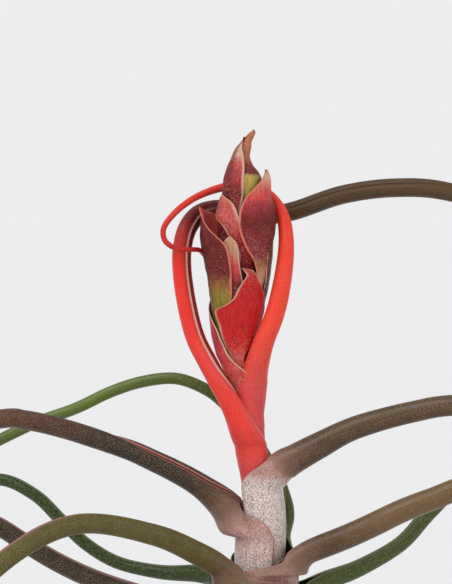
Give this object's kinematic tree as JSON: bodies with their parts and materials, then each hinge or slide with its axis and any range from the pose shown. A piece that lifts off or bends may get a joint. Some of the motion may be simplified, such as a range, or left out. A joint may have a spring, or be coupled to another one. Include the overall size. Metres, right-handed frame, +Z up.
{
  "type": "bulbous air plant in bud",
  "caption": "Bulbous air plant in bud: nested leaf sheaths form a hollow bulb, rolled leaves arch out of it, and red leaves loop round a spike of pointed bracts.",
  "frame": {"origin": "centre of the flat foot under the bulb, on the surface that the plant rests on", "axes": "+Z up, from the foot towards the flower spike; -Y towards the viewer of the picture, +X to their right"},
  "size_m": [0.2435, 0.1719, 0.1321],
  "materials": {
    "flower_spike": "matte",
    "red_leaf": "satin",
    "bronze_leaf": "satin",
    "green_leaf": "satin"
  },
  "bodies": {
    "root": {"flower_stem": "flower_spike", "red_leaf_right": "red_leaf", "red_leaf_left": "red_leaf", "leaf_01": "bronze_leaf", "leaf_02": "bronze_leaf", "leaf_03": "green_leaf", "leaf_04": "bronze_leaf", "leaf_05": "bronze_leaf", "leaf_06": "green_leaf", "leaf_07": "green_leaf", "leaf_08": "bronze_leaf", "leaf_09": "bronze_leaf", "leaf_10": "green_leaf"}
  },
  "joints": []
}
